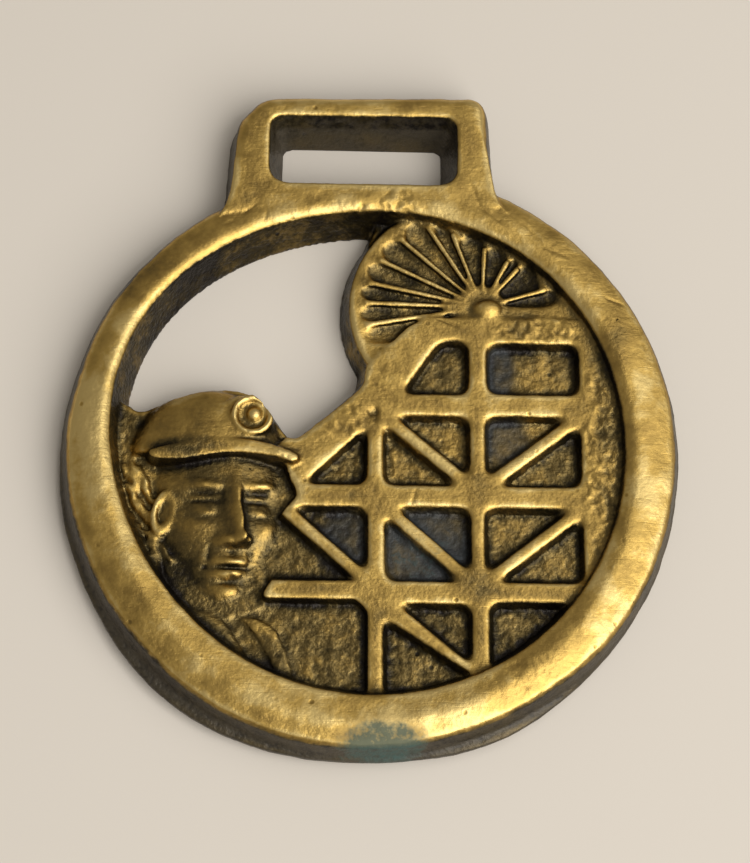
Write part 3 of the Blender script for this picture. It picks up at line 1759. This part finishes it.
@dataclass
class Casting:
    """The whole horse brass, fused from its forms, sculpted, and finished in aged brass."""

    rim: Rim = field(default_factory=Rim)
    hanger: Hanger = field(default_factory=Hanger)
    gap: Gap = field(default_factory=Gap)
    frame: PitFrame = field(default_factory=PitFrame)
    sun: Sun = field(default_factory=Sun)
    head: Head = field(default_factory=Head)
    hair: Hair = field(default_factory=Hair)
    helmet: Helmet = field(default_factory=Helmet)
    collar: Collar = field(default_factory=Collar)
    wear: Wear = field(default_factory=Wear)
    finish: AgedBrass = field(default_factory=AgedBrass)
    voxel: float = 0.2
    melt: int = 6
    rounding: int = 24
    fan_rounding: int = 1
    under_rim: float = 33.0
    back: float = 0.12
    most_triangles: int = 190_000
    # The casting's left and top ends, from the rim's centre.
    corner: Point = (-38.49, 49.02)

    def ground(self) -> Object:
        """Adds the sunk ground that the relief stands on.

        Returns:
            The ground, a flat disc that reaches under the rim.
        """
        depth, radius = LEVELS.field, self.under_rim
        middle = (0, 0, depth / 2)
        return add_primitive(
            "ground", CYLINDER, vertices=160, radius=radius, depth=depth, location=middle
        )

    def pierced(self, form: Object) -> Object:
        """Cuts the open gap out of one form."""
        return combine(form, self.gap.build())

    def fuse(self) -> Object:
        """Builds every form and melts them into one body.

        Returns:
            The body, in millimetres.
        """
        relief = [self.ground(), self.frame.build(), *self.helmet.build()]
        forms = [self.pierced(form) for form in relief]
        sun, *ribs = self.sun.build()
        for corners in self.frame.top_storey():
            combine(sun, self.frame.cell(corners))
        forms += [self.head.build(), *self.hair.build(), *self.collar.build(), sun, *ribs]
        slotted = combine(self.rim.build(), self.hanger.slot())
        body = join([slotted, self.hanger.build(), *forms], "horse_brass")
        apply_modifier(body, "REMESH", mode="VOXEL", voxel_size=self.voxel)
        apply_modifier(body, "SMOOTH", factor=0.5, iterations=self.melt)
        return body

    def settle(self, body: Object) -> None:
        """Makes the back flat again.

        Args:
            body: The body to settle.
        """
        places = coordinates(body)
        places[:, 2] = np.where(places[:, 2] < self.back, 0.0, places[:, 2])
        move_vertices(body, places)

    def texture(self, body: Object) -> None:
        """Presses the mould's grain and the long wear into the surface.

        Args:
            body: The body to texture.
        """
        places = coordinates(body)
        radius, height = np.hypot(places[:, 0], places[:, 1]), places[:, 2]
        bold, up = smoothstep(31.0, 32.2, radius), smoothstep(0.02, 0.4, height)
        relief = 1 - bold
        fine = np.clip(spread(FINE_PATCHES, places), 0, 1)
        fan = np.clip(spread(FAN_PATCHES, places), 0, 1)
        rough = np.clip(spread(ROUGH_PATCHES, places), 0, 1)
        inside = np.where(places[:, 0] > 24, 1 - smoothstep(29.8, 30.8, radius), 1)
        groups = {
            "bold": bold * up,
            "relief": relief * up,
            "sunk": relief * up * (1 - smoothstep(3.2, 3.7, height)) * (1 - 0.8 * fine),
            "bars": relief * (1 - fine) * smoothstep(3.0, 3.3, height),
            "fan": relief * fan,
            "rough": rough * inside * up * smoothstep(3.4, 4.0, height),
        }
        for name, weights in groups.items():
            paint_group(body, name, weights)
        press_grains(body, "bold")
        for name, rounds in (("bars", self.rounding), ("fan", self.fan_rounding)):
            apply_modifier(body, "SMOOTH", vertex_group=name, factor=0.5, iterations=rounds)
        press_grains(body, "relief", "sunk", "rough")
        body.vertex_groups.clear()
        places = coordinates(body)
        places[:, 2] -= sum(dent.sink(places) for dent in DENTS) * smoothstep(3.8, 4.2, places[:, 2])
        move_vertices(body, places)

    def thin(self, body: Object) -> None:
        """Thins the mesh where it is flat, down to its budget of triangles.

        Args:
            body: The body to thin.
        """
        triangles = sum(len(polygon.vertices) - 2 for polygon in body.data.polygons)
        ratio = min(1.0, self.most_triangles / triangles)
        apply_modifier(body, "DECIMATE", decimate_type="COLLAPSE", ratio=ratio)

    def build(self, low: Vector, high: Vector) -> Object:
        """Builds the finished casting in its place in the frame.

        Args:
            low: The lowest corner of the CAD solid.
            high: Its highest corner.

        Returns:
            The finished piece.
        """
        body = self.fuse()
        self.texture(body)
        self.settle(body)
        self.thin(body)
        self.wear.paint(body)
        left, top = self.corner
        places = coordinates(body) + (low[0] / MM - left, high[1] / MM - top, 0)
        move_vertices(body, places * MM)
        make_active(body)
        bpy.ops.object.shade_smooth()
        body.data.materials.clear()
        body.data.materials.append(self.finish.build())
        return body


# ---------------------------------------------------------------- the studio


@dataclass(frozen=True)
class Studio:
    """A pale board, soft light, and a camera that looks down on the brass where it lies."""

    elevation: float = 70.214
    azimuth: float = -8.0
    distance: float = 0.320
    lens: float = 106.3
    sensor: float = 36.0
    target: Triple = (0.000601, -0.001407, 0.0)
    board_size: float = 1.6
    board_gap: float = 0.00002

    def floor(self) -> Object:
        """Lays the board, level with the casting's back.

        Returns:
            The board.
        """
        place = (0, 0, -self.board_gap)
        board = add_primitive("board", PLANE, size=self.board_size, location=place)
        board.data.materials.append(PlainFloor().build())
        return board

    def camera(self) -> Object:
        """Sets up the camera, with the rim's up direction upright in the view.

        Returns:
            The camera.
        """
        e, a = math.radians(self.elevation), math.radians(self.azimuth)
        back = Vector((math.sin(a) * math.cos(e), -math.cos(a) * math.cos(e), math.sin(e)))
        upright = Vector((0, 1, 0))
        right = upright.cross(back).normalized()
        rotation = Matrix((right, back.cross(right), back)).transposed()
        data = bpy.data.cameras.new("camera")
        data.lens = self.lens
        data.sensor_fit = "AUTO"
        data.sensor_width = self.sensor
        data.clip_start = 0.01
        camera = bpy.data.objects.new("camera", data)
        bpy.context.scene.collection.objects.link(camera)
        place = Vector(self.target) + back * self.distance
        camera.matrix_world = Matrix.Translation(place) @ rotation.to_4x4()
        bpy.context.scene.camera = camera
        return camera

    def softbox(self, name: str, place: Triple, size: float, power: float) -> Object:
        """Hangs a square soft light that faces the brass.

        Args:
            name: The light's name.
            place: Where it hangs, in metres.
            size: The length of its side.
            power: Its power in watts.

        Returns:
            The light.
        """
        data = bpy.data.lights.new(name, "AREA")
        data.shape = "SQUARE"
        data.size = size
        data.energy = power
        light = bpy.data.objects.new(name, data)
        bpy.context.scene.collection.objects.link(light)
        light.location = place
        light.rotation_euler = (-Vector(place)).to_track_quat("-Z", "Y").to_euler()
        return light

    def light(self) -> None:
        """Lights the brass from the front right, from above and from all round."""
        self.softbox("key", (0.55, -0.52, 0.72), 1.0, 12.0)
        self.softbox("top", (0.42, 0.20, 0.82), 0.7, 1.9)
        world = bpy.data.worlds.new("room")
        world.use_nodes = True
        background = world.node_tree.nodes["Background"]
        background.inputs["Color"].default_value = linear("#EFEAE2")
        background.inputs["Strength"].default_value = 0.3
        bpy.context.scene.world = world
        bpy.context.scene.view_settings.view_transform = "Standard"


def main() -> None:
    """Builds the casting and its setting, and reports each piece."""
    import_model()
    studio = Studio()
    studio.camera()
    studio.floor()
    studio.light()
    low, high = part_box(NODE)
    brass = Casting().build(low, high)
    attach(brass, "root")
    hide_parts(NODE)
    LOG.info("%s: %d faces", brass.name, len(brass.data.polygons))


if __name__ == "__main__":
    logging.basicConfig(level=logging.INFO, format="%(name)s: %(message)s")
    main()
